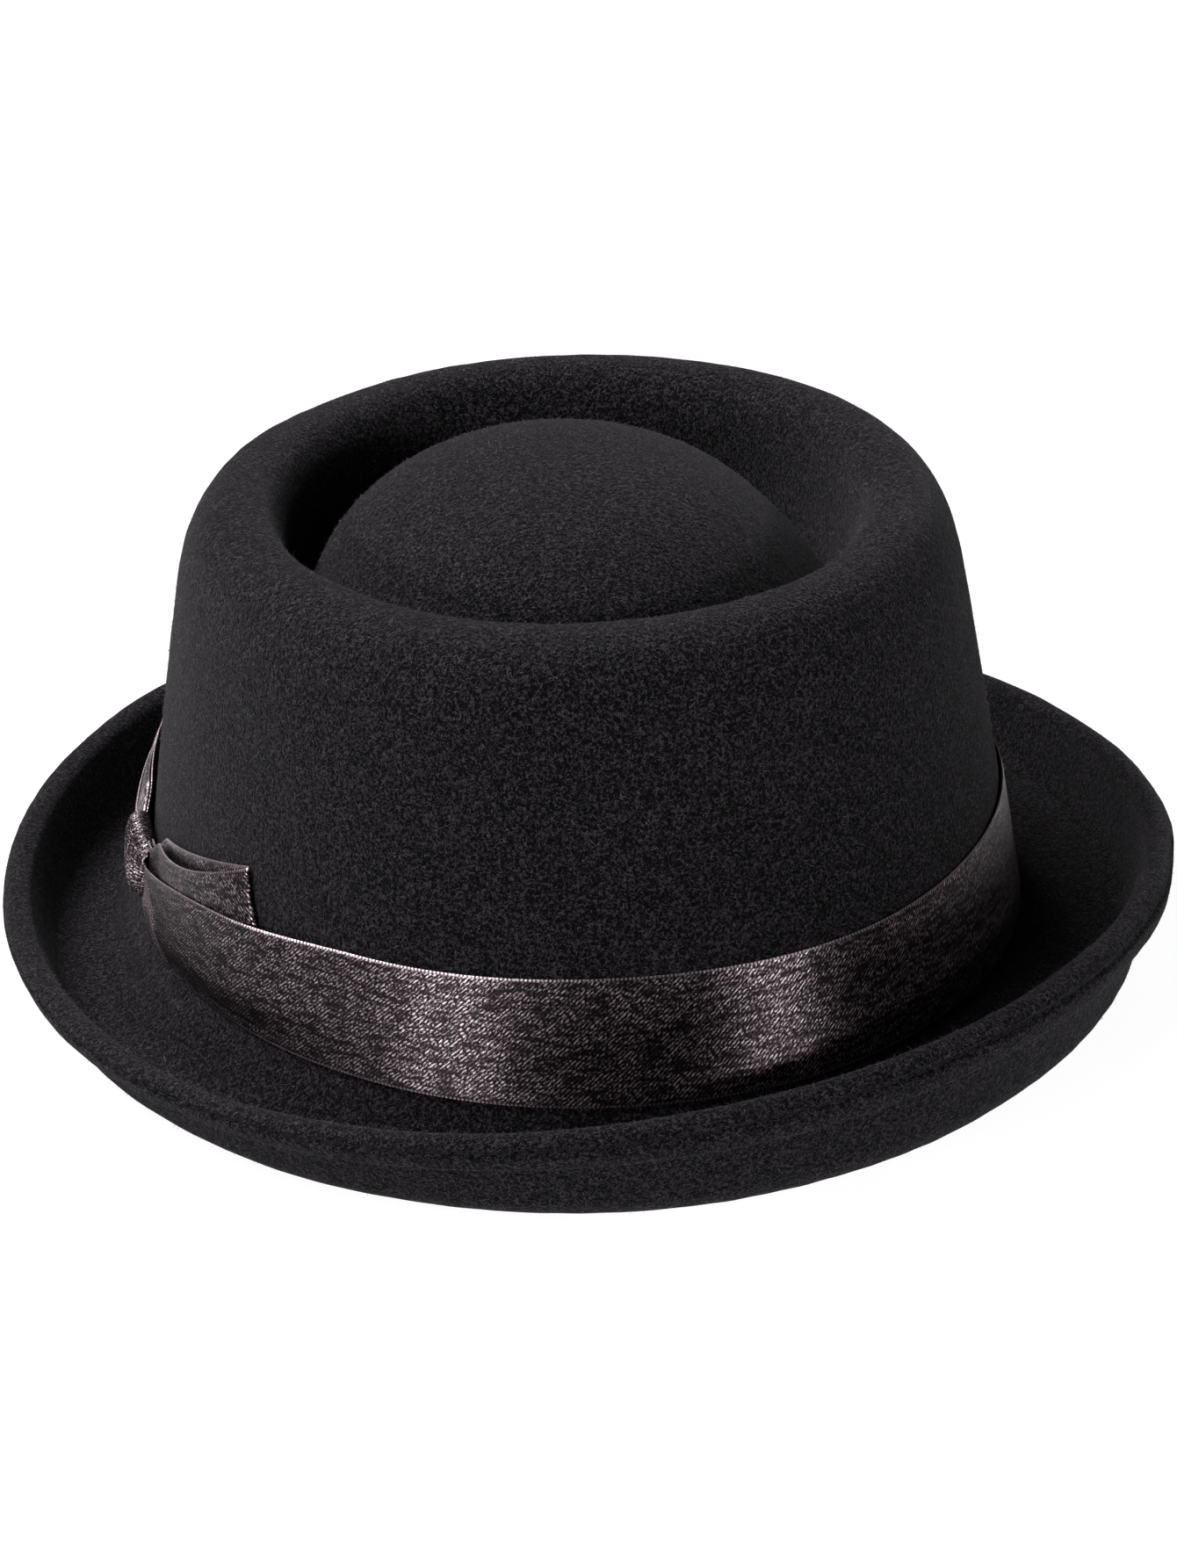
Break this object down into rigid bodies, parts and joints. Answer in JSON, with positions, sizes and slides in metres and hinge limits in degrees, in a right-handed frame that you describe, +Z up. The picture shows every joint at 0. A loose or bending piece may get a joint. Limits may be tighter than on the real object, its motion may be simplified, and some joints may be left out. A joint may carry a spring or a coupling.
{
  "type": "pork pie hat",
  "caption": "Felt hat with a flat telescope crown, a brim rolled up all round, a ribbon band with a flat side bow, a leather sweatband and a satin lining.",
  "frame": {"origin": "on the resting plane, under the middle of the hat", "axes": "+Z up, +Y towards the wearer's front, -X towards the wearer's left, where the bow is"},
  "size_m": [0.2366, 0.2754, 0.1043],
  "materials": {
    "wool_felt": "napped wool felt, black",
    "satin_ribbon": "satin ribbon with a fine twill and a soft sheen",
    "thread": "matte sewing thread",
    "sweatband_leather": "fine-grained leather, semi-matte",
    "reed_plastic": "satin",
    "woven_tape": "plain-woven cotton tape",
    "lining_satin": "satin lining",
    "label_cloth": "blank woven label"
  },
  "bodies": {
    "root": {"felt_body": "wool_felt", "edge_stitching": "thread", "hat_band": "satin_ribbon", "bow_near_wing": "satin_ribbon", "bow_far_wing": "satin_ribbon", "bow_knot": "satin_ribbon", "sweatband": "sweatband_leather", "sweatband_reed": "reed_plastic", "reed_tape": "woven_tape", "sweatband_seam": "thread", "sweatband_joint_bow": "satin_ribbon", "lining_side": "lining_satin", "lining_tip": "lining_satin", "size_tab": "label_cloth"}
  },
  "joints": []
}
